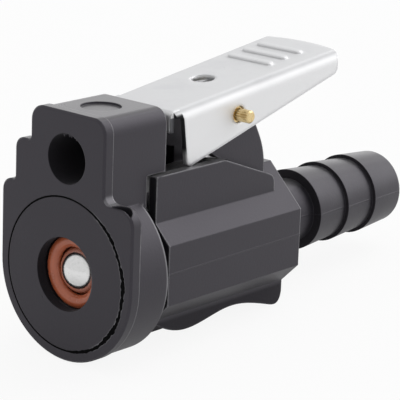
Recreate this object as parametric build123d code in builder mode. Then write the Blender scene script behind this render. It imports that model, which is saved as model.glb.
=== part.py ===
"""Quick-release coupling for an outboard fuel hose, female half.

Frame: origin at the centre of the fuel port on the front face, +X to the right seen from the
front, +Y rearwards along the hose axis, +Z up towards the latch lever. Millimetres.
"""
import math
import os

from build123d import *

# ---------------------------------------------------------------- front plate and flange
FLANGE_R = 11.35            # U-shaped front plate and the round flange behind it
PLATE_T = 1.55              # thickness of the front plate
FLANGE_DEPTH = 7.1          # front face to the rear face of the round flange
PLATE_EDGE = 0.25           # bevel round the plate's front outline
FLANGE_EDGE = 0.3           # rounding of the flange's rear rim
EDGE_STEP = 0.18            # how far the plate's rim stands proud of what lies behind it
SHOULDER_Z = 10.4           # top of the plate's shoulders
SHOULDER_R = 2.2
FOOT_R = 1.2                # hollow corner where the guide block rises from the shoulders
LEFT_SHOULDER_R = 1.6
EAR_STEP = 2.25             # left shoulder's reach beyond the keying ear
EAR_REACH = 2.7             # keying ear's reach beyond the guide block
EAR_Z = 16.1                # top of the keying ear
EAR_R = 1.4
RELIEF_L = 3.2              # crescent pocket in the right shoulder
RELIEF_DEPTH = 1.1

# ---------------------------------------------------------------- guide block
BLOCK_TOP = 20.8
BLOCK_R = 2.0               # rounded upper corners
BLOCK_REAR = 11.3           # rear face of the overhanging upper part
BLOCK_FOOT_REAR = 7.95      # rear face of the part below the overhang
OVERHANG_Z = 12.55
GUIDE_Z = 14.85             # guide-pin axis above the fuel port axis
GUIDE_R = 3.2
GUIDE_WALL = 1.6            # wall of the round boss below the bore
DIMPLE_R = 2.6              # shallow round recess in the block's top
DIMPLE_DEPTH = 0.45
DIMPLE_Y = 5.9

# ---------------------------------------------------------------- rear body
BODY_FRONT = 8.9
BODY_REAR = 35.3
BODY_APOTHEM = 9.5          # half the distance across the flats of the octagon
BODY_EDGE = 0.2             # bevel round the octagon's rear face
NECK_R = 8.2                # round neck between flange and octagon
PANEL_X = 7.05              # outer face of the guard panels
PANEL_T = 1.3
PANEL_TOP = 12.38
PANEL_BREAK_Y = 22.0        # where the panel's top edge turns down
PANEL_REAR = 32.25
PANEL_REAR_Z = 8.55
PANEL_R = 1.5
KEEL_HALF = 6.8             # half-width of the finger grip below the octagon
KEEL_FRONT_Z = -6.6
KEEL_HUMP_FRONT = (15.5, -9.1)
KEEL_HOLLOW = (23.4, -8.05)
KEEL_HUMP_REAR = (32.2, -9.5)
KEEL_CORNER_Z = -8.2
LUG_OUT = 5.4               # outer face of the two hinge lugs
LUG_T = 1.5
LUG_REAR = 31.85
LUG_SHOULDER = (29.85, 15.45)
LUG_EYE_R = 2.3
LUG_BELLY_R = 6.15          # round front of the lugs about the pivot
LUG_FOOT_Y = 24.4

# ---------------------------------------------------------------- hose barb
STEM_R = 4.46
BARB_R = 5.7
BARB_SMALL_R = 5.2
BARB_START = 44.6
BARB_PITCH = 6.3
BARB_COUNT = 3
TAIL_ROUND = 0.6            # rounded end beyond the last ring's taper
BORE_R = 3.3                # fuel passage through the barb

# ---------------------------------------------------------------- valve
RECESS_CLEAR = 0.22         # open ring between the insert and its recess
RIM_WALL = 1.3              # flange wall outside the insert's recess
INSERT_T = 4.2
PORT_R = 4.75
PORT_LIP = 1.35             # length of plain port bore in front of the seal
SEAL_WIRE_R = 0.9
SEAL_GROOVE_R = 4.95
SEAL_CLEAR = 0.05
INSERT_THROAT_R = 3.95      # opening behind the seal, which clears the ball
BALL_R = 3.5
BALL_GAP = 0.08             # between ball and seal when shut
CHAMBER_R = 4.2
CHAMBER_END = 20.0
SPRING_WIRE_R = 0.25
CHECK_COIL_R = 2.6
CHECK_TURNS = 6
SPRING_GAP = 0.1            # between a spring's ends and what it pushes on

# ---------------------------------------------------------------- latch lever
SHEET = 0.7
LEVER_FRONT = 13.0          # front edge of the lever's top plate
LEVER_REAR = 44.9           # rear corners of the plate and rear edge of the side flanges
LEVER_Z = 18.04             # height of the plate's top surface carried forward to the front face
LEVER_SLOPE = 0.124         # rise of the plate towards the thumb end
LEVER_HALF = 6.39           # half-width at the pivot
LEVER_TAPER = 0.027         # widening of each side towards the thumb end
LEVER_SHOULDER = 0.5        # how far the plate's front corners lie behind the tongue
LEVER_BEND_R = 1.4
LEVER_BULGE = 1.2           # rounding of the thumb end between its corners
FLANGE_TIP = (16.3, 12.4)   # lowest point of the lever's side flanges
FLANGE_TIP_FRONT = (15.65, 12.6)
FLANGE_FRONT_Y = 14.7       # front edge of the flanges below the plate
FLANGE_NOTCH_Z = 18.9
FLANGE_REAR_Z = 20.75
FLANGE_TIP_R = 0.5
FLANGE_REAR_R = 1.0
TONGUE_HALF = 5.3
TONGUE_Z = 17.0             # lower edge of the latching tongue
TONGUE_BEND_R = 0.8
PIVOT_Y = 25.1
PIVOT_Z = 17.8
PIN_R = 1.08
PIN_SINK = 0.3              # how far the pin's shoulder ends inside the lever's outer face
PIN_TIP_R = 0.85            # splined tip that stands out on the right
PIN_TIP_L = 2.05
PIN_CHAMFER = 0.2
PIN_FIT = 0.02              # radial clearance of the pin in the lugs
HINGE_FIT = 0.07            # radial clearance of the pin in the lever
SPLINE_TEETH = 16
SPLINE_DEPTH = 0.1
HANG_HOLE_R = 1.6
STAMP_X = -0.65             # sideways place of the hole and ribs in the plate
HANG_HOLE_Y = 25.85
RIB_FIRST_Y = 35.4
RIB_PITCH = 3.1
RIB_COUNT = 3
RIB_L = 7.6
RIB_W = 1.3
RIB_H = 0.3
RIB_SOFT = 0.2
LEVER_SPRING_Y = 28.7
LEVER_COIL_R = 2.15
LEVER_TURNS = 7
POCKET_CLEAR = 0.3          # round and below the lever spring
POCKET_DEPTH = 1.0

FRONT = Plane(origin=(0, 0, 0), x_dir=(1, 0, 0), z_dir=(0, -1, 0))


def cross_plane(y):
    """Plane across the hose axis at y; sketches on it are drawn in (x, z)."""
    return FRONT.offset(-y)


def lever_top(y):
    """Height of the lever's top surface at y."""
    return LEVER_Z + LEVER_SLOPE * y


def lever_half(y):
    """Outer half-width of the lever at y."""
    return LEVER_HALF + LEVER_TAPER * (y - PIVOT_Y)


BARB_END = BARB_START + BARB_COUNT * BARB_PITCH + TAIL_ROUND
RECESS_R = FLANGE_R - RIM_WALL
INSERT_R = RECESS_R - RECESS_CLEAR
EAR_X = FLANGE_R - EAR_STEP
BLOCK_HALF = EAR_X - EAR_REACH                     # half the width of the guide block
SEAL_R = SEAL_GROOVE_R - SEAL_CLEAR - SEAL_WIRE_R
SEAL_Y = PORT_LIP + SEAL_WIRE_R + SEAL_CLEAR
BALL_Y = SEAL_Y + math.sqrt((BALL_R + SEAL_WIRE_R + BALL_GAP) ** 2 - SEAL_R ** 2)
SHEET_UP = SHEET * math.hypot(1, LEVER_SLOPE)      # the sheet's thickness measured along Z
PIN_END_X = lever_half(PIVOT_Y)


# ================================================================ housing, one moulding
with BuildPart() as housing:
    # front plate: a U with shoulders, the guide block's face and the keying ear
    with BuildSketch(cross_plane(0)):
        with BuildLine():
            corners = [(-FLANGE_R, SHOULDER_Z, LEFT_SHOULDER_R), (-EAR_X, SHOULDER_Z, FOOT_R / 2),
                       (-EAR_X, EAR_Z, EAR_R), (-BLOCK_HALF, EAR_Z, FOOT_R / 2),
                       (-BLOCK_HALF, BLOCK_TOP, BLOCK_R), (BLOCK_HALF, BLOCK_TOP, BLOCK_R),
                       (BLOCK_HALF, SHOULDER_Z, FOOT_R), (FLANGE_R, SHOULDER_Z, SHOULDER_R)]
            FilletPolyline((-FLANGE_R, 0), *[(x, z) for x, z, _ in corners], (FLANGE_R, 0),
                           radius=[r for _, _, r in corners])
            ThreePointArc((FLANGE_R, 0), (0, -FLANGE_R), (-FLANGE_R, 0))
        make_face()
    extrude(amount=-PLATE_T)
    chamfer(housing.faces().sort_by(Axis.Y)[0].edges(), PLATE_EDGE)
    # round flange, and the block standing on it
    with BuildSketch(cross_plane(PLATE_T)):
        Circle(FLANGE_R - EDGE_STEP)
    extrude(amount=-(FLANGE_DEPTH - PLATE_T))
    fillet(housing.faces().sort_by(Axis.Y)[-1].edges(), FLANGE_EDGE)
    for low, rear in ((SHOULDER_Z / 2, BLOCK_FOOT_REAR), (OVERHANG_Z, BLOCK_REAR)):
        with BuildSketch(cross_plane(PLATE_T)):
            with BuildLine():
                half = BLOCK_HALF - EDGE_STEP
                FilletPolyline((-half, low), (-half, BLOCK_TOP - EDGE_STEP),
                               (half, BLOCK_TOP - EDGE_STEP), (half, low), radius=BLOCK_R)
                Line((half, low), (-half, low))
            make_face()
        extrude(amount=-(rear - PLATE_T))
    with BuildSketch(cross_plane(PLATE_T)):
        with Locations((0, GUIDE_Z)):
            Circle(GUIDE_R + GUIDE_WALL)
    extrude(amount=-(BLOCK_REAR - PLATE_T))
    # neck and octagonal rear body with a bevelled rear rim
    with BuildSketch(cross_plane(PLATE_T)):
        Circle(NECK_R)
    extrude(amount=-(BODY_FRONT - PLATE_T))
    with BuildSketch(cross_plane(BODY_FRONT)):
        RegularPolygon(BODY_APOTHEM, 8, major_radius=False, rotation=22.5)
    extrude(amount=-(BODY_REAR - BODY_FRONT))
    chamfer(housing.faces().sort_by(Axis.Y)[-1].edges(), BODY_EDGE)
    # finger grip under the body
    with BuildSketch(Plane.YZ.offset(-KEEL_HALF)):
        with BuildLine():
            Line((BODY_REAR - BODY_EDGE, KEEL_CORNER_Z), (BODY_REAR - BODY_EDGE, 0))
            Line((BODY_REAR - BODY_EDGE, 0), (BODY_FRONT, 0))
            Line((BODY_FRONT, 0), (BODY_FRONT, KEEL_FRONT_Z))
            Spline((BODY_FRONT, KEEL_FRONT_Z), KEEL_HUMP_FRONT, KEEL_HOLLOW, KEEL_HUMP_REAR,
                   (BODY_REAR - BODY_EDGE, KEEL_CORNER_Z),
                   tangents=[(1, -0.75), (0.15, 1)])
        make_face()
    extrude(amount=2 * KEEL_HALF)
    # guard panels beside the lever
    for side in (-1, 1):
        with BuildSketch(Plane.YZ.offset(side * (PANEL_X - PANEL_T / 2))) as panel:
            with BuildLine():
                Polyline((BODY_FRONT, 0), (BODY_FRONT, PANEL_TOP), (PANEL_BREAK_Y, PANEL_TOP),
                         (PANEL_REAR, PANEL_REAR_Z), (PANEL_REAR, 0), close=True)
            make_face()
            fillet(panel.vertices().sort_by_distance((PANEL_REAR, PANEL_REAR_Z, 0))[0], PANEL_R)
            fillet(panel.vertices().sort_by_distance((PANEL_BREAK_Y, PANEL_TOP, 0))[0], PANEL_R)
        extrude(amount=PANEL_T / 2, both=True)
    # hinge lugs: eye, long shoulder at the rear and a round belly in front
    for side in (-1, 1):
        with BuildSketch(Plane.YZ.offset(side * (LUG_OUT - LUG_T / 2))):
            with BuildLine():
                eye = CenterArc((PIVOT_Y, PIVOT_Z), LUG_EYE_R, 60, 110)
                belly = CenterArc((PIVOT_Y, PIVOT_Z), LUG_BELLY_R, 200, 62)
                Line(eye @ 1, belly @ 0)
                Polyline(belly @ 1, (LUG_FOOT_Y, 0), (LUG_REAR, 0), (LUG_REAR, BODY_APOTHEM))
                Spline((LUG_REAR, BODY_APOTHEM), LUG_SHOULDER, eye @ 0,
                       tangents=[(0, 1), eye % 0])
            make_face()
        extrude(amount=LUG_T / 2, both=True)
    # stem and barbs, turned about the hose axis
    with BuildSketch(Plane.XY):
        with BuildLine():
            barb_outline = [(0, BODY_FRONT), (STEM_R, BODY_FRONT), (STEM_R, BARB_START)]
            for ring in range(BARB_COUNT):
                ring_y = BARB_START + ring * BARB_PITCH
                barb_outline.append((BARB_R, ring_y))
                barb_outline.append((BARB_SMALL_R, ring_y + BARB_PITCH))
            Polyline(*barb_outline)
            RadiusArc((BARB_SMALL_R, BARB_END - TAIL_ROUND),
                      (BARB_SMALL_R - TAIL_ROUND, BARB_END), -TAIL_ROUND)
            Polyline((BARB_SMALL_R - TAIL_ROUND, BARB_END), (0, BARB_END), (0, BODY_FRONT))
        make_face()
    revolve(axis=Axis.Y)
    # recess, valve chamber and fuel passage
    with BuildSketch(Plane.XY):
        with BuildLine():
            Polyline((0, 0), (RECESS_R, 0), (RECESS_R, INSERT_T), (CHAMBER_R, INSERT_T),
                     (CHAMBER_R, CHAMBER_END), (BORE_R, CHAMBER_END), (BORE_R, BARB_END),
                     (0, BARB_END), close=True)
        make_face()
    revolve(axis=Axis.Y, mode=Mode.SUBTRACT)
    # guide-pin bore, shallow round recess above it, and the crescent in the shoulder
    with BuildSketch(cross_plane(0)):
        with Locations((0, GUIDE_Z)):
            Circle(GUIDE_R)
    extrude(amount=-BLOCK_REAR, mode=Mode.SUBTRACT)
    with BuildSketch(Plane.XY.offset(BLOCK_TOP)):
        with Locations((0, DIMPLE_Y)):
            Circle(DIMPLE_R)
    extrude(amount=-DIMPLE_DEPTH, mode=Mode.SUBTRACT)
    with BuildSketch(Plane.XY.offset(SHOULDER_Z)):
        with BuildLine():
            relief_x = BLOCK_HALF + FOOT_R
            Line((relief_x, EDGE_STEP), (relief_x + RELIEF_L, EDGE_STEP))
            ThreePointArc((relief_x + RELIEF_L, EDGE_STEP),
                          (relief_x + RELIEF_L * 0.4, PLATE_T - EDGE_STEP),
                          (relief_x, EDGE_STEP))
        make_face()
    extrude(amount=-RELIEF_DEPTH, mode=Mode.SUBTRACT)
    # pivot holes in the lugs, and the pocket of the lever spring
    with BuildSketch(Plane.YZ.offset(-LUG_OUT)):
        with Locations((PIVOT_Y, PIVOT_Z)):
            Circle(PIN_R + PIN_FIT)
    extrude(amount=2 * LUG_OUT, mode=Mode.SUBTRACT)
    with BuildSketch(Plane.XY.offset(BODY_APOTHEM)):
        with Locations((0, LEVER_SPRING_Y)):
            Circle(LEVER_COIL_R + SPRING_WIRE_R + POCKET_CLEAR)
    extrude(amount=-POCKET_DEPTH, mode=Mode.SUBTRACT)
housing.part.label = "housing"

# ================================================================ port insert with its seal
with BuildPart() as port_insert:
    with BuildSketch(Plane.XY):
        with BuildLine():
            groove_end = SEAL_Y + SEAL_WIRE_R + SEAL_CLEAR
            Polyline((PORT_R, 0), (INSERT_R, 0), (INSERT_R, INSERT_T),
                     (INSERT_THROAT_R, INSERT_T), (INSERT_THROAT_R, groove_end),
                     (SEAL_GROOVE_R, groove_end), (SEAL_GROOVE_R, PORT_LIP),
                     (PORT_R, PORT_LIP), close=True)
        make_face()
    revolve(axis=Axis.Y)
port_insert.part.label = "port_insert"

with BuildPart() as port_seal:
    with BuildSketch(Plane.XY):
        with Locations((SEAL_R, SEAL_Y)):
            Circle(SEAL_WIRE_R)
    revolve(axis=Axis.Y)
port_seal.part.label = "port_seal"

# ================================================================ check ball and its spring
with BuildPart() as check_ball:
    with BuildSketch(Plane.XY.offset(0)):
        with BuildLine():
            ThreePointArc((0, BALL_Y - BALL_R), (BALL_R, BALL_Y), (0, BALL_Y + BALL_R))
            Line((0, BALL_Y + BALL_R), (0, BALL_Y - BALL_R))
        make_face()
    revolve(axis=Axis.Y)
check_ball.part.label = "check_ball"


def spring(label, start, direction, length, turns, coil_r):
    """Round-wire compression spring from start along direction."""
    climb = length - 2 * SPRING_WIRE_R
    centre = Vector(start) + Vector(direction) * SPRING_WIRE_R
    path = Helix(climb / turns, climb, coil_r, center=centre, direction=direction)
    with BuildPart() as made:
        with BuildSketch(Plane(origin=path @ 0, z_dir=path % 0)):
            Circle(SPRING_WIRE_R)
        sweep(path=path, is_frenet=True)
    made.part.label = label
    return made


check_start = BALL_Y + math.sqrt(BALL_R ** 2 - CHECK_COIL_R ** 2) + SPRING_GAP
check_spring = spring("check_spring", (0, check_start, 0), (0, 1, 0),
                      CHAMBER_END - SPRING_GAP - check_start, CHECK_TURNS, CHECK_COIL_R)
lever_spring_z = BODY_APOTHEM - POCKET_DEPTH + SPRING_GAP
lever_spring = spring("lever_spring", (0, LEVER_SPRING_Y, lever_spring_z), (0, 0, 1),
                      lever_top(LEVER_SPRING_Y - LEVER_COIL_R) - SHEET_UP - SPRING_GAP
                      - lever_spring_z, LEVER_TURNS, LEVER_COIL_R)

# ================================================================ latch lever, folded sheet
LEVER_PLANE = Plane(origin=(0, 0, LEVER_Z), x_dir=(1, 0, 0), z_dir=(0, -LEVER_SLOPE, 1))
ALONG = math.hypot(1, LEVER_SLOPE)                 # sketch length on that plane per unit of y
plate_front = LEVER_FRONT + LEVER_SHOULDER
front_half = lever_half(plate_front)
rear_half = lever_half(LEVER_REAR)


def above_plate(face):
    """Height of a face's middle above the lever's top surface."""
    return LEVER_PLANE.to_local_coords(face.center()).Z


with BuildPart() as channel:
    with BuildSketch(LEVER_PLANE.offset(-SHEET)):
        with BuildLine():
            far_y = (LEVER_REAR + 2 * LEVER_BULGE) * ALONG
            far_half = lever_half(far_y) - SHEET
            near_half = front_half - SHEET
            Polyline((-far_half, far_y), (-near_half, plate_front * ALONG),
                     (near_half, plate_front * ALONG), (far_half, far_y), close=True)
        make_face()
    extrude(amount=-LEVER_Z)
    ceiling = channel.faces().sort_by(above_plate)[-1]
    fillet(ceiling.edges().filter_by(lambda e: abs(e.tangent_at(0.5).Y) > 0.9),
           LEVER_BEND_R - SHEET)

with BuildPart() as latch_lever:
    # side view of plate and flanges, trimmed to the tapering top view
    with BuildSketch(Plane.YZ.offset(-rear_half)) as side_view:
        with BuildLine():
            rear_y = LEVER_REAR + LEVER_BULGE
            Polyline((plate_front, lever_top(plate_front)), (rear_y, lever_top(rear_y)),
                     (rear_y, lever_top(rear_y) - SHEET_UP),
                     (LEVER_REAR, lever_top(LEVER_REAR) - SHEET_UP), (LEVER_REAR, FLANGE_REAR_Z),
                     FLANGE_TIP, FLANGE_TIP_FRONT, (FLANGE_FRONT_Y, FLANGE_NOTCH_Z),
                     (plate_front, FLANGE_NOTCH_Z), close=True)
        make_face()
        for at_y, at_z, radius in ((*FLANGE_TIP, FLANGE_TIP_R),
                                   (LEVER_REAR, FLANGE_REAR_Z, FLANGE_REAR_R)):
            fillet(side_view.vertices().sort_by_distance((at_y, at_z, 0))[0], radius)
    extrude(amount=2 * rear_half)
    with BuildSketch(LEVER_PLANE):
        with BuildLine():
            Polyline((-rear_half, LEVER_REAR * ALONG), (-front_half, plate_front * ALONG),
                     (front_half, plate_front * ALONG), (rear_half, LEVER_REAR * ALONG))
            ThreePointArc((rear_half, LEVER_REAR * ALONG),
                          (0, (LEVER_REAR + LEVER_BULGE) * ALONG),
                          (-rear_half, LEVER_REAR * ALONG))
        make_face()
    extrude(amount=LEVER_Z, both=True, mode=Mode.INTERSECT)
    top_face = latch_lever.faces().sort_by(above_plate)[-1]
    fillet(top_face.edges().filter_by(lambda e: abs(e.tangent_at(0.5).Y) > 0.9), LEVER_BEND_R)
    add(channel.part, mode=Mode.SUBTRACT)
    # tongue folded down at the front edge
    with BuildSketch(Plane.YZ.offset(-TONGUE_HALF)) as tongue:
        with BuildLine():
            Polyline((LEVER_FRONT, TONGUE_Z), (LEVER_FRONT, lever_top(LEVER_FRONT)),
                     (FLANGE_FRONT_Y, lever_top(FLANGE_FRONT_Y)),
                     (FLANGE_FRONT_Y, lever_top(FLANGE_FRONT_Y) - SHEET_UP),
                     (LEVER_FRONT + SHEET, lever_top(LEVER_FRONT + SHEET) - SHEET_UP),
                     (LEVER_FRONT + SHEET, TONGUE_Z), close=True)
        make_face()
        fillet(tongue.vertices().sort_by_distance((LEVER_FRONT, lever_top(LEVER_FRONT), 0))[0],
               TONGUE_BEND_R)
    extrude(amount=2 * TONGUE_HALF)
    # ribs pressed up out of the plate, hollow below
    for rib in range(RIB_COUNT):
        rib_y = (RIB_FIRST_Y + rib * RIB_PITCH) * ALONG
        with BuildSketch(LEVER_PLANE):
            with Locations((STAMP_X, rib_y)):
                SlotOverall(RIB_L, RIB_W)
        extrude(amount=RIB_H)
        with BuildSketch(LEVER_PLANE.offset(-SHEET)):
            with Locations((STAMP_X, rib_y)):
                SlotOverall(RIB_L - SHEET, RIB_W - SHEET)
        extrude(amount=RIB_H, mode=Mode.SUBTRACT)
    crests = latch_lever.faces().sort_by(above_plate)[-RIB_COUNT:]
    fillet(crests.edges(), RIB_SOFT)
    # hanging hole and the pivot holes
    with BuildSketch(LEVER_PLANE):
        with Locations((STAMP_X, HANG_HOLE_Y * ALONG)):
            Circle(HANG_HOLE_R)
    extrude(amount=-SHEET, mode=Mode.SUBTRACT)
    with BuildSketch(Plane.YZ.offset(-rear_half)):
        with Locations((PIVOT_Y, PIVOT_Z)):
            Circle(PIN_R + HINGE_FIT)
    extrude(amount=2 * rear_half, mode=Mode.SUBTRACT)
latch_lever.part.label = "latch_lever"

# ================================================================ pivot pin with a splined tip
shoulder_x = PIN_END_X - PIN_SINK
with BuildPart() as pivot_pin:
    with BuildSketch(Plane.YZ.offset(-PIN_END_X)):
        with Locations((PIVOT_Y, PIVOT_Z)):
            Circle(PIN_R)
    extrude(amount=PIN_END_X + shoulder_x)
    with BuildSketch(Plane.YZ.offset(shoulder_x)):
        with Locations((PIVOT_Y, PIVOT_Z)):
            Circle(PIN_TIP_R)
    extrude(amount=PIN_SINK + PIN_TIP_L)
    for end in (Axis.X, -Axis.X):
        chamfer(pivot_pin.faces().sort_by(end)[-1].edges(), PIN_CHAMFER)
    with BuildSketch(Plane.YZ.offset(shoulder_x)):
        with Locations((PIVOT_Y, PIVOT_Z)):
            with PolarLocations(PIN_TIP_R, SPLINE_TEETH):
                RegularPolygon(SPLINE_DEPTH, 4)
    extrude(amount=PIN_SINK + PIN_TIP_L, mode=Mode.SUBTRACT)
pivot_pin.part.label = "pivot_pin"

os.makedirs("parts", exist_ok=True)
for built in (housing, port_insert, port_seal, check_ball, check_spring, latch_lever, pivot_pin,
              lever_spring):
    export_step(built.part, "parts/" + built.part.label + ".step")
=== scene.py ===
import math

import bmesh
import bpy
import numpy as np
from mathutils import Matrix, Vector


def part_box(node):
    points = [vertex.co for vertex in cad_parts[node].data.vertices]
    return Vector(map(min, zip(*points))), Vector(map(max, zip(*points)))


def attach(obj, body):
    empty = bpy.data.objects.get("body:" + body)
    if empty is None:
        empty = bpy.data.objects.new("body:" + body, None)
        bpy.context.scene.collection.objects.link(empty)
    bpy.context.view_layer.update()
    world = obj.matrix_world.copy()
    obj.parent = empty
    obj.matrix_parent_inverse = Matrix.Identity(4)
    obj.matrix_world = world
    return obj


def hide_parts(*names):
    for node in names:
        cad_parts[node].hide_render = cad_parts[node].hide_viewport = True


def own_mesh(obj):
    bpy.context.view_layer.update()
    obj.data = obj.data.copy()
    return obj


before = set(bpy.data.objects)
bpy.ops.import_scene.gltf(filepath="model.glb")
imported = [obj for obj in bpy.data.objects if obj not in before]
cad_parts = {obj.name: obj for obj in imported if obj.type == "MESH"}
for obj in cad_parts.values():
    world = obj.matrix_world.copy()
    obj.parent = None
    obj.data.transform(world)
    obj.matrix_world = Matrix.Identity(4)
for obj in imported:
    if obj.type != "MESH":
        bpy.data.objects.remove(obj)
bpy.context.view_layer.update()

MM = 0.001

# ------------------------------------------------------------------ sizes shared with the solids
INSERT_R = 9.83 * MM
RECESS_R = 10.05 * MM
PORT_R = 4.76 * MM
SEAL_R, SEAL_Y = 3.99 * MM, 2.27 * MM                # middle of the O-ring's section
SEAL_HALF_R, SEAL_HALF_Y = 0.88 * MM, 0.85 * MM      # half its width and half its depth
COIL_WIRE = 0.25 * MM
COIL_TURNS = 7.5
GUIDE_Z, GUIDE_R = 14.85 * MM, 3.2 * MM

# ------------------------------------------------------------------ places the finishes follow
POCKET_X, POCKET_Z, POCKET_Y = 7.1 * MM, 8.2 * MM, 1.6 * MM     # the shoulder pocket's limits
FOOT_X = (6.3 * MM, 7.9 * MM)                        # the guide block's foot on the plate, where a highlight is painted
FOOT_Z = (10.2 * MM, 11.9 * MM)
FLANGE_BACK = (6.6 * MM, 7.5 * MM)
FLANGE_RIM = (10.8 * MM, 11.42 * MM)
FLANGE_RIM_TOP = 9.3 * MM
BODY_FRONT = 8.9 * MM
BODY_BACK = (34.97 * MM, 35.6 * MM)
BODY_RIM = 9.3 * MM
TAIL_Y = 36.0 * MM
BARB_Y = 44.2 * MM
GRIP_Y, GRIP_TOP = 8.5 * MM, -6.6 * MM
PLATE_HALF = 4.7 * MM                                # flat part of the lever's thumb plate
FLANGE_IN = 5.2 * MM                                 # inner side of the lever's flanges

# ------------------------------------------------------------------ light
FLOOR_LIFT = 0.9                  # share of plain white in what the camera sees of the floor
FLOOR_MIRRORED = 0.35             # and in what glossy faces show of it
SKY_LEVEL = 0.75                  # light from every side
SKY_GLOW = 1.45                   # more from high behind the coupling
SKY_BACK = 0.55                   # and from low behind it
BRIGHT_SKY = (0.27, 0.73, 0.63)   # where the high glow is strongest
LAMP_WATTS = 0.8


# ------------------------------------------------------------------ shader arithmetic
class Value:
    """A node socket that takes part in arithmetic. Each operator adds one Math node."""

    def __init__(self, tree, socket):
        self.tree = tree
        self.socket = socket

    def _math(self, operation, *terms):
        return node(self.tree, "ShaderNodeMath", {"operation": operation}, dict(enumerate(terms)))

    def __add__(self, other):
        return self._math("ADD", self, other)

    def __radd__(self, other):
        return self._math("ADD", other, self)

    def __sub__(self, other):
        return self._math("SUBTRACT", self, other)

    def __rsub__(self, other):
        return self._math("SUBTRACT", other, self)

    def __mul__(self, other):
        return self._math("MULTIPLY", self, other)

    def __rmul__(self, other):
        return self._math("MULTIPLY", other, self)

    def __abs__(self):
        return self._math("ABSOLUTE", self)

    def sin(self):
        return self._math("SINE", self)

    def above(self, limit, soft):
        """Rises smoothly from 0 to 1 as the value passes from limit to limit + soft."""
        return node(self.tree, "ShaderNodeMapRange", {"interpolation_type": "SMOOTHSTEP"},
                    {0: self, 1: limit, 2: limit + soft})

    def below(self, limit, soft):
        """Falls smoothly from 1 to 0 as the value passes from limit - soft to limit."""
        return (limit - self).above(0.0, soft)


def node(tree, kind, settings=None, inputs=None, output=0):
    """One node of any kind: its settings first, then its sockets' values or links."""
    made = tree.nodes.new(kind)
    for key, value in (settings or {}).items():
        setattr(made, key, value)
    for key, value in (inputs or {}).items():
        if isinstance(value, Value):
            tree.links.new(value.socket, made.inputs[key])
        else:
            made.inputs[key].default_value = value
    return Value(tree, made.outputs[output])


class Finish:
    """A material under construction: object coordinates, a Principled shader and its bump."""

    def __init__(self, name, colour, **fixed):
        self.material = bpy.data.materials.new(name)
        self.material.use_nodes = True
        self.tree = self.material.node_tree
        self.shader = self.tree.nodes["Principled BSDF"]
        self.colour = self.rgb(colour)
        self.height = None
        for key, value in fixed.items():
            self.shader.inputs[key.replace("_", " ")].default_value = value
        self.place = self.node("ShaderNodeTexCoord", output="Object")
        self.x, self.y, self.z = self.parts(self.place)

    def node(self, kind, settings=None, inputs=None, output=0):
        return node(self.tree, kind, settings, inputs, output)

    def parts(self, vector):
        """The x, y and z of a vector."""
        split = self.node("ShaderNodeSeparateXYZ", inputs={0: vector}).socket.node
        return [Value(self.tree, socket) for socket in split.outputs]

    def direction(self):
        """The x, y and z of the way the surface faces, in the scene's own axes."""
        return self.parts(self.node("ShaderNodeNewGeometry", output="Normal"))

    def rgb(self, colour):
        return self.node("ShaderNodeCombineColor", inputs=dict(enumerate(colour)))

    def noise(self, per_metre, detail=2.0, stretch=(1, 1, 1), roughness=0.5):
        """Noise whose lumps are about 1 / per_metre across, drawn out along an axis by stretch."""
        place = self.node("ShaderNodeMapping", inputs={0: self.place, 3: stretch})
        return self.node("ShaderNodeTexNoise", inputs={
            "Vector": place, "Scale": per_metre, "Detail": detail, "Roughness": roughness})

    def cells(self, per_metre, feature="F1"):
        return self.node("ShaderNodeTexVoronoi", {"feature": feature},
                         {"Vector": self.place, "Scale": per_metre})

    def tint(self, mask, colour):
        """Mixes the colour so far towards another one by mask."""
        self.colour = self.node("ShaderNodeMix", {"data_type": "RGBA"},
                                {0: mask, 6: self.colour, 7: self.rgb(colour)}, 2)

    def edges(self, reach):
        """0 on flat ground, rising to 1 on outward edges and corners no more than reach away."""
        buried = self.node("ShaderNodeAmbientOcclusion", {"inside": True, "samples": 8},
                           {"Distance": reach}, "AO")
        return (1.0 - buried).above(0.2, 0.3)

    def done(self, roughness, bevel=0.0):
        """Links colour, roughness and bump; bevel is the radius that rounds the edges' shading."""
        links = self.tree.links
        links.new(self.colour.socket, self.shader.inputs["Base Color"])
        if isinstance(roughness, Value):
            links.new(roughness.socket, self.shader.inputs["Roughness"])
        else:
            self.shader.inputs["Roughness"].default_value = roughness
        normal = {}
        if bevel:
            normal["Normal"] = self.node("ShaderNodeBevel", {"samples": 6}, {"Radius": bevel})
        if self.height is not None:
            normal["Normal"] = self.node("ShaderNodeBump", inputs={
                "Height": self.height, "Distance": 1.0, "Strength": 1.0, **normal})
        if normal:
            links.new(normal["Normal"].socket, self.shader.inputs["Normal"])
        return self.material


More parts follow.
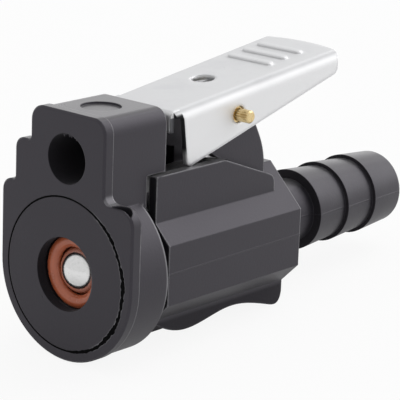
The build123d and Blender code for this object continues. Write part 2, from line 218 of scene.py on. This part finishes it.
# ------------------------------------------------------------------ finishes
def moulded_plastic(name, colour, gloss, hole):
    """Dark moulded plastic: fine spark texture, cloudy gloss, painted edge highlights and a parting
    line.

    Faces that look up are smoother and painted paler, as light from above would make them. Painted
    highlights run along the right side's edges, the rear rims of the flange and body and the guide
    block's foot, and the barb carries painted mottled highlights. The barb's steps and the grip's
    underside have painted shade and are dull, as is the wall of the hole along the hose axis that
    hole gives as its height and radius.
    """
    skin = Finish(name, colour, Specular_IOR_Level=0.62, IOR=1.5, Specular_Tint=(0.93, 0.87, 1, 1),
                  Sheen_Weight=0.06, Sheen_Roughness=0.35)
    cloud = skin.noise(140, 3, (1, 0.5, 1))
    grain = skin.noise(3200, 2)
    pits = skin.cells(420).below(0.09, 0.03) * skin.noise(90, 1).above(0.55, 0.1)
    _, forward, upward = skin.direction()
    from_axis = skin.x * skin.x + skin.z * skin.z
    near_front = 1.0 - skin.y.above(POCKET_Y, 0.2 * MM)
    right = skin.x.above(4.0 * MM, 2.0 * MM)
    # painted highlights: catch-lights painted along the outward edges of the lit right side
    painted_catchlights = skin.edges(0.4 * MM) * skin.noise(500, 3).above(0.2, 0.3) * right
    pocket_wall = skin.x.above(POCKET_X, 0.2 * MM) * skin.z.above(POCKET_Z, 0.4 * MM) * near_front
    flange_rim = skin.y.above(FLANGE_BACK[0], 0.2 * MM) * skin.y.below(FLANGE_BACK[1], 0.1 * MM) \
        * from_axis.above(FLANGE_RIM[0] ** 2, 1e-6) \
        * (1.0 - from_axis.above(FLANGE_RIM[1] ** 2, 1e-6)) \
        * skin.z.below(FLANGE_RIM_TOP, 0.5 * MM)
    body_rim = skin.y.above(BODY_BACK[0], 0.08 * MM) * skin.y.below(BODY_BACK[1], 0.1 * MM) \
        * from_axis.above(BODY_RIM ** 2, 1e-6)
    # painted highlight lines along the lit side of the flange's and body's rear rims
    rims = (flange_rim + body_rim) * skin.x.above(1.0 * MM, 4.0 * MM) \
        * skin.z.above(-6.0 * MM, 6.0 * MM)
    # painted highlight on the guide block's foot where it meets the plate
    foot = skin.x.above(FOOT_X[0], 0.2 * MM) * skin.x.below(FOOT_X[1], 0.3 * MM) \
        * skin.z.above(FOOT_Z[0], 0.2 * MM) * skin.z.below(FOOT_Z[1], 0.3 * MM) \
        * upward.above(0.1, 0.4) * near_front
    # the painted edge highlights, kept off the pocket and the barb, plus the painted rim and foot
    # highlights
    painted_catchlights = painted_catchlights * (1.0 - pocket_wall) * (1.0 - skin.y.above(TAIL_Y + 0.2 * MM, 0.4 * MM)) \
        + rims * 0.8 + foot * 0.6
    facing_up = upward.above(0.8, 0.18)
    barb = skin.y.above(BARB_Y, 0.3 * MM)
    # painted shade masks: the barb's front-facing ring faces, the grip's underside and the bore's
    # wall
    painted_step_shade = forward.below(-0.5, 0.3) * skin.y.above(TAIL_Y, 0.5 * MM)
    painted_underside_shade = skin.z.below(GRIP_TOP, 0.8 * MM) * skin.y.above(GRIP_Y, 1.0 * MM) * (1.0 - barb)
    up_from_hole = skin.z - hole[0]
    painted_bore_shade = 1.0 - (skin.x * skin.x + up_from_hole * up_from_hole).above(hole[1] ** 2, 1e-7)
    skin.tint(cloud.above(0.45, 0.3) * 0.35, [c * 1.4 for c in colour])
    # painted light: faces that look up are painted paler
    skin.tint(facing_up * (0.6 + cloud * 0.8), (0.062, 0.061, 0.064))
    # paints the edge, rim and foot highlights lighter
    skin.tint(painted_catchlights * 0.65, (0.27, 0.27, 0.28))
    skin.tint(pits * 0.8, (0.002, 0.002, 0.002))
    # painted mottled highlights on the barb
    skin.tint(barb * cloud.above(0.38, 0.3) * 0.7, (0.04, 0.04, 0.043))
    # painted shade on the grip's underside, out of the light
    skin.tint(painted_underside_shade * 0.7, (0.003, 0.003, 0.0035))
    # painted shade: the bore's wall and the barb's front-facing ring faces painted near black
    skin.tint(painted_bore_shade + painted_step_shade * 0.9, (0.0008, 0.0008, 0.001))
    wander = (skin.y * 40.0).sin() * (0.3 * MM) + 0.1 * MM
    seam = 1.0 - abs(skin.z - wander).above(0.04 * MM, 0.12 * MM)
    outside = skin.y.above(BODY_FRONT, 0.1 * MM)
    skin.height = grain * (0.012 * MM) + seam * outside * (0.04 * MM) - pits * (0.03 * MM)
    dull = (painted_bore_shade * 1.5 + painted_step_shade + painted_underside_shade) * 0.4
    polish = painted_catchlights * 0.08 + facing_up * 0.13
    return skin.done(gloss + cloud * 0.12 + grain * 0.06 - polish + dull, bevel=0.22 * MM)


def bright_sheet(name):
    """Folded bright-plated sheet: faint rolling lines, hazy patches, small scratches.

    The flanges are painted lighter than the plate, as sideways light would make them; the fold is
    rougher and has painted shade, and the flanges' cut front corners and lower front have painted
    shade.
    """
    sheet = Finish(name, (0.72, 0.723, 0.732), Metallic=1.0)
    haze = sheet.noise(210, 4, roughness=0.6)
    rolled = sheet.noise(900, 2, (1, 0.06, 1))
    fine = sheet.noise(5200, 2)
    scratch = sheet.cells(260, "DISTANCE_TO_EDGE").below(0.028, 0.02) \
        * sheet.noise(320, 1).above(0.62, 0.05)
    sheet.tint(haze.above(0.5, 0.25) * 0.45, (0.65, 0.65, 0.67))
    sheet.tint(scratch * 0.1, (0.45, 0.45, 0.46))
    sideways, forward, _ = sheet.direction()
    sideways, across = abs(sideways), abs(sheet.x)
    painted_bend_shade = sideways.above(0.05, 0.5) * (1.0 - sideways.above(0.55, 0.44)) \
        * across.above(PLATE_HALF, 0.4 * MM)
    # painted light: faces that look sideways, the flanges, are painted lighter
    sheet.tint(sideways.above(0.4, 0.6), (0.82, 0.822, 0.83))
    # painted shade on the fold between plate and flanges
    sheet.tint(painted_bend_shade * 0.22, (0.5, 0.5, 0.51))
    painted_front_shade = across.above(FLANGE_IN + 0.05 * MM, 0.04 * MM) * sheet.y.below(13.8 * MM, 0.1 * MM) \
        * sheet.z.below(19.0 * MM, 0.2 * MM)
    painted_corner_shade = across.above(FLANGE_IN, 0.1 * MM) * sheet.y.below(15.5 * MM, 0.2 * MM) \
        * forward.below(-0.7, 0.15)
    painted_notch_shade = across.above(FLANGE_IN + 0.4 * MM, 0.3 * MM) * sheet.y.below(14.7 * MM, 0.1 * MM) \
        * sheet.z.below(19.5 * MM, 0.2 * MM)
    # painted shade on the flanges' front corners, cut edges and lower front, where the slot's shade
    # falls
    sheet.tint(painted_corner_shade, (0.05, 0.05, 0.055))
    sheet.tint(painted_notch_shade, (0.03, 0.03, 0.033))
    sheet.tint(painted_front_shade, (0.13, 0.13, 0.14))
    sheet.height = rolled * (0.006 * MM) + fine * (0.003 * MM) + haze * (0.02 * MM)
    return sheet.done(0.5 + haze * 0.12 + rolled * 0.05 + painted_bend_shade * 0.24, bevel=0.7 * MM)


def seal_rubber(name):
    """Orange-brown O-ring rubber, a little shiny and cloudy, with dark specks."""
    ring = Finish(name, (0.44, 0.11, 0.047), Specular_IOR_Level=0.7)
    cloud = ring.noise(700, 3)
    speck = ring.cells(1500).below(0.12, 0.05)
    ring.tint(cloud.above(0.4, 0.3) * 0.4, (0.3, 0.075, 0.035))
    ring.tint(speck * 0.3, (0.12, 0.04, 0.03))
    ring.height = cloud * (0.02 * MM) + ring.noise(6000, 1) * (0.0015 * MM)
    return ring.done(0.2 + cloud * 0.12)


def glue_with_painted_shade(name):
    """Set black glue: lumpy and dull. Also the colour of a thin band of painted shade round the
    disc.
    """
    glue = Finish(name, (0.0008, 0.0008, 0.001), Specular_IOR_Level=0.03)
    lumps = glue.noise(2500, 3)
    glue.tint(lumps.above(0.55, 0.15) * 0.6, (0.007, 0.007, 0.008))
    glue.height = lumps * (0.06 * MM)
    return glue.done(0.45 + lumps * 0.2)


def polished_steel(name):
    """Bearing steel: nearly a mirror, with hair-fine polishing marks."""
    ball = Finish(name, (0.82, 0.82, 0.82), Metallic=1.0)
    marks = ball.noise(2600, 3)
    ball.tint(marks.above(0.5, 0.2) * 0.3, (0.6, 0.62, 0.6))
    ball.height = marks * (0.001 * MM)
    return ball.done(0.15 + marks * 0.06)


def drawn_wire(name):
    """Spring wire, finely rough, with a slightly oily, uneven shine."""
    wire = Finish(name, (0.5, 0.5, 0.51), Metallic=1.0)
    oil = wire.noise(900, 3)
    wire.tint(oil.above(0.45, 0.3) * 0.5, (0.34, 0.33, 0.32))
    wire.height = wire.noise(6000, 2) * (0.004 * MM)
    return wire.done(0.25 + oil * 0.2)


def turned_brass(name):
    """Cut brass: bright on the teeth, browner where it has tarnished in the grooves."""
    brass = Finish(name, (0.8, 0.62, 0.33), Metallic=1.0)
    tarnish = brass.noise(1500, 3)
    brass.tint(tarnish.above(0.45, 0.2) * 0.6, (0.5, 0.34, 0.14))
    brass.height = brass.noise(5200, 2, (0.1, 1, 1)) * (0.008 * MM)
    return brass.done(0.2 + tarnish * 0.2, bevel=0.06 * MM)


# ------------------------------------------------------------------ pieces
def add_piece(name, points, faces, material, body):
    """Puts points and faces into a new object that rides on a body of the frame."""
    mesh = bpy.data.meshes.new(name)
    mesh.from_pydata(points.tolist(), [], faces.tolist())
    shell = bmesh.new()
    shell.from_mesh(mesh)
    bmesh.ops.remove_doubles(shell, verts=shell.verts, dist=1e-7)
    bmesh.ops.recalc_face_normals(shell, faces=shell.faces)
    shell.to_mesh(mesh)
    shell.free()
    mesh.shade_smooth()
    mesh.materials.append(material)
    piece = bpy.data.objects.new(name, mesh)
    bpy.context.scene.collection.objects.link(piece)
    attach(piece, body)
    return piece


def tube_faces(rings, sides):
    """Quads of a tube of rings x sides points, closed round each ring and without end caps."""
    ring, side = np.meshgrid(np.arange(rings - 1), np.arange(sides), indexing="ij")
    after = (side + 1) % sides
    return np.stack([ring * sides + side, (ring + 1) * sides + side,
                     (ring + 1) * sides + after, ring * sides + after], -1).reshape(-1, 4)


def closed_coil(start, end, radius, turns, rings_per_turn=40, sides=12):
    """Compression spring between two points on one axis.

    A circle of the wire's radius is carried along a helix: angle grows evenly, while the climb
    is nearly nothing over the first and last turn (closed ends) and even between them. The wire
    tapers to a point at both ends, which closes the surface.
    """
    start, end = np.array(start, float), np.array(end, float)
    length = np.linalg.norm(end - start)
    axis = (end - start) / length
    across = np.cross(axis, (1, 0, 0))
    across /= np.linalg.norm(across)
    other = np.cross(axis, across)
    t = np.linspace(0, 1, int(turns * rings_per_turn) + 1)
    angle = 2 * math.pi * turns * t
    eased = np.clip((t * turns - 1) / (turns - 2), 0, 1)
    closing = 2 * COIL_WIRE * (np.clip(t * turns, 0, 1) + np.clip(t * turns - turns + 1, 0, 1))
    climb = COIL_WIRE + closing + eased * (length - 6 * COIL_WIRE)
    climb = np.convolve(np.pad(climb, 8, mode="edge"), np.ones(17) / 17, "valid")
    outward = np.cos(angle)[:, None] * across + np.sin(angle)[:, None] * other
    path = start + climb[:, None] * axis + radius * outward
    forward = np.gradient(path, axis=0)
    forward /= np.linalg.norm(forward, axis=1)[:, None]
    up = np.cross(forward, outward)
    wire = COIL_WIRE * np.clip(np.minimum(t, 1 - t) * turns * rings_per_turn / 2, 0, 1) ** 0.5
    turn = np.linspace(0, 2 * math.pi, sides, endpoint=False)
    section = (np.cos(turn)[None, :, None] * outward[:, None, :]
               + np.sin(turn)[None, :, None] * up[:, None, :])
    points = path[:, None, :] + wire[:, None, None] * section
    return points.reshape(-1, 3), tube_faces(len(t), sides)


def arc_tube(angle, radius, depth, half_radial, half_depth, sides=10, closed=False):
    """A tube carried along an arc about the hose axis.

    At every angle the section is an ellipse of the given half sizes, centred at radius and depth;
    all of them may be arrays that follow the angle. The tube is closed on itself, or else its half
    sizes have to come down to nothing at both ends.
    """
    turn = np.linspace(0, 2 * math.pi, sides, endpoint=False)
    radius, depth, half_radial, half_depth = (
        np.broadcast_to(each, angle.shape)[:, None]
        for each in (radius, depth, half_radial, half_depth))
    out = radius + half_radial * np.cos(turn)
    along = depth + half_depth * np.sin(turn)
    points = np.stack([out * np.cos(angle)[:, None], along, out * np.sin(angle)[:, None]], -1)
    faces = tube_faces(len(angle) + closed, sides)
    return points.reshape(-1, 3), faces % (len(angle) * sides)


def ragged_bead(rings=900):
    """Black glue in the open ring round the disc, thickest and most ragged on its right side; the
    thin even band that runs the rest of the way round is painted shade of the ring's gap.

    A closed arc tube that stands very little in front of the plate. Where the cosine of the angle
    from the thickest place is high, it widens by a sum of sines of the angle.
    """
    angle = np.linspace(0, 2 * math.pi, rings, endpoint=False)
    swell = np.clip(1.5 * np.cos(angle + 0.15) - 0.3, 0, 1) ** 0.8
    ragged = 0.6 + 0.2 * np.sin(9 * angle + 1) + 0.16 * np.sin(31 * angle) \
        + 0.12 * np.sin(67 * angle + 2) + 0.1 * np.sin(113 * angle)
    ragged = np.clip(ragged, 0.1, 1) * swell
    wander = (0.04 + 0.05 * np.sin(11 * angle) + 0.04 * np.sin(53 * angle)) * MM
    middle = (INSERT_R + RECESS_R) / 2 + swell * wander
    return arc_tube(angle, middle, 0.01 * MM, (0.13 + 0.3 * ragged) * MM,
                    (0.02 + 0.01 * ragged) * MM, sides=12, closed=True)


def squeezed_ring(rings=160, sides=32):
    """O-ring pressed into its groove: an arc tube all the way round, a little flattened."""
    angle = np.linspace(0, 2 * math.pi, rings, endpoint=False)
    return arc_tube(angle, SEAL_R, SEAL_Y, SEAL_HALF_R, SEAL_HALF_Y, sides, closed=True)


def bore_flash(rings=90):
    """Thin torn flash on the upper edge of the guide bore.

    An arc tube about the bore's own axis, whose inward reach is the clipped sum of sines of the
    angle, moved up to the bore afterwards.
    """
    angle = np.linspace(0.95, 2.05, rings)
    fade = np.sin(np.linspace(0, math.pi, rings)) ** 0.5
    torn = np.clip(0.35 + 0.4 * np.sin(19 * angle) + 0.35 * np.sin(43 * angle + 1), 0.08, 1)
    reach = 0.28 * MM * torn * fade
    points, faces = arc_tube(angle, GUIDE_R - reach + 0.04 * MM, 0.14 * MM, reach, 0.06 * MM * fade)
    return points + np.array((0, 0, GUIDE_Z)), faces


# ------------------------------------------------------------------ the coupling
plastic = moulded_plastic("moulded_body", (0.0095, 0.009, 0.0115), 0.34, (GUIDE_Z, GUIDE_R))
disc_plastic = moulded_plastic("moulded_disc", (0.009, 0.0085, 0.0105), 0.38, (0.0, PORT_R))
wire_steel = drawn_wire("spring_wire")
finishes = {
    "housing": plastic,
    "port_insert": disc_plastic,
    "port_seal": seal_rubber("seal_rubber"),
    "check_ball": polished_steel("ball_steel"),
    "check_spring": wire_steel,
    "lever_spring": wire_steel,
    "latch_lever": bright_sheet("lever_sheet"),
    "pivot_pin": turned_brass("pin_brass"),
}
for name, material in finishes.items():
    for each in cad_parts[name].material_slots:
        each.material = material

for name, axis, joint, radius, keep in (
        ("check_spring", 1, "ball_slide", 2.6 * MM, 0.73),
        ("lever_spring", 2, "lever_hinge", 2.15 * MM, 0.95)):
    low, high = (np.array(painted_corner_shade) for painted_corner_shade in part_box(name))
    middle = (low + high) / 2
    start, end = middle.copy(), middle.copy()
    start[axis], end[axis] = low[axis], high[axis]
    points, faces = closed_coil(start, end, radius, COIL_TURNS)
    coil = add_piece(name + "_coil", points, faces, wire_steel, "body")
    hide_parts(name)
    anchor = end if joint == "ball_slide" else start     # the end that rests on the housing
    list(anchor)
    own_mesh(coil)

# painted shade: a thin black band round the disc deepens the gap's shade; on the right side it is
# glue
points, faces = ragged_bead()
add_piece("glue_and_painted_shade_bead", points, faces, glue_with_painted_shade("glue_and_painted_shade"), "body")
points, faces = squeezed_ring()
seal = add_piece("seal_ring", points, faces, finishes["port_seal"], "body")
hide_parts("port_seal")
points, faces = bore_flash()
add_piece("bore_flash", points, faces, disc_plastic, "body")

# ------------------------------------------------------------------ floor, light and camera
FLANGE_FOOT = (0, 6.8 * MM, -11.19 * MM)     # it rests on the flange's rear edge
REST_SLOPE = math.atan2(1.362, 26.97)        # and on the grip's rear hump
bpy.ops.mesh.primitive_plane_add(size=3.0, location=FLANGE_FOOT, rotation=(REST_SLOPE, 0, 0))
floor = bpy.context.object
floor.name = "floor"
pale = Finish("floor_pale", (0.72, 0.72, 0.72))
paper = pale.noise(300, 2)
pale.tint(paper.above(0.4, 0.3) * 0.3, (0.7, 0.7, 0.7))
floor.data.materials.append(pale.done(0.9))
seen = pale.node("ShaderNodeLightPath", output="Is Camera Ray")
mirrored = pale.node("ShaderNodeLightPath", output="Is Glossy Ray")
white = pale.node("ShaderNodeEmission", inputs={"Color": (1, 1, 1, 1), "Strength": 1.0})
lifted = pale.node("ShaderNodeMixShader", inputs={
    0: seen * FLOOR_LIFT + mirrored * FLOOR_MIRRORED,
    1: Value(pale.tree, pale.shader.outputs[0]), 2: white})
pale.tree.links.new(lifted.socket, pale.tree.nodes["Material Output"].inputs["Surface"])

world = bpy.data.worlds.new("studio")
bpy.context.scene.world = world
world.use_nodes = True
tree = world.node_tree
sky = tree.nodes["Background"]
ray = node(tree, "ShaderNodeTexCoord", output="Generated")
camera_ray = node(tree, "ShaderNodeLightPath", output="Is Camera Ray")
towards = node(tree, "ShaderNodeVectorMath", {"operation": "DOT_PRODUCT"},
               {0: ray, 1: BRIGHT_SKY}, "Value")
ray_back = node(tree, "ShaderNodeSeparateXYZ", inputs={0: ray}, output=1)
ray_up = node(tree, "ShaderNodeSeparateXYZ", inputs={0: ray}, output=2)
low_back = ray_back.above(0.2, 0.5) * (1.0 - ray_up.above(0.25, 0.25))
glow = SKY_LEVEL + towards.above(0.84, 0.12) * SKY_GLOW + low_back * SKY_BACK
tree.links.new((camera_ray + (1.0 - camera_ray) * glow).socket, sky.inputs["Strength"])
sky.inputs["Color"].default_value = (1, 1, 1, 1)


def soft_box(name, place, aim, size, watts):
    """Square area lamp at place, turned to face aim."""
    lamp = bpy.data.lights.new(name, "AREA")
    lamp.size = size
    lamp.energy = watts
    holder = bpy.data.objects.new(name, lamp)
    bpy.context.scene.collection.objects.link(holder)
    holder.location = place
    away = np.array(place, float) - np.array(aim, float)
    holder.rotation_mode = "XYZ"
    flat = math.hypot(away[0], away[1])
    holder.rotation_euler = (math.atan2(flat, away[2]), 0, math.atan2(away[0], -away[1]))


soft_box("overhead", (0.08, 0.25, 0.6), (0, 0.03, 0), 0.5, LAMP_WATTS)


def look(azimuth, elevation, roll, aim, distance, lens):
    """Camera on a sphere about aim: azimuth 0 looks along +Y, roll turns it about its own view."""
    az, el, tilt = (math.radians(a) for a in (azimuth, elevation, roll))
    back = np.array([math.sin(az) * math.cos(el), -math.cos(az) * math.cos(el), math.sin(el)])
    right = np.cross(-back, (0, 0, 1))
    right /= np.linalg.norm(right)
    up = np.cross(right, -back)
    right, up = (math.cos(tilt) * right + math.sin(tilt) * up,
                 math.cos(tilt) * up - math.sin(tilt) * right)
    eye = np.array(aim) + back * distance
    data = bpy.data.cameras.new("camera")
    data.lens = lens
    data.sensor_width = 36.0
    data.clip_start = 0.01
    holder = bpy.data.objects.new("camera", data)
    bpy.context.scene.collection.objects.link(holder)
    columns = np.eye(4)
    columns[:3, 0], columns[:3, 1], columns[:3, 2], columns[:3, 3] = right, up, back, eye
    holder.matrix_world = columns.T.tolist()
    bpy.context.scene.camera = holder


look(40.61, 15.60, 2.22, (-0.59 * MM, 26.12 * MM, 4.66 * MM), 282.94 * MM, 191.22)
bpy.context.scene.view_settings.view_transform = "Standard"
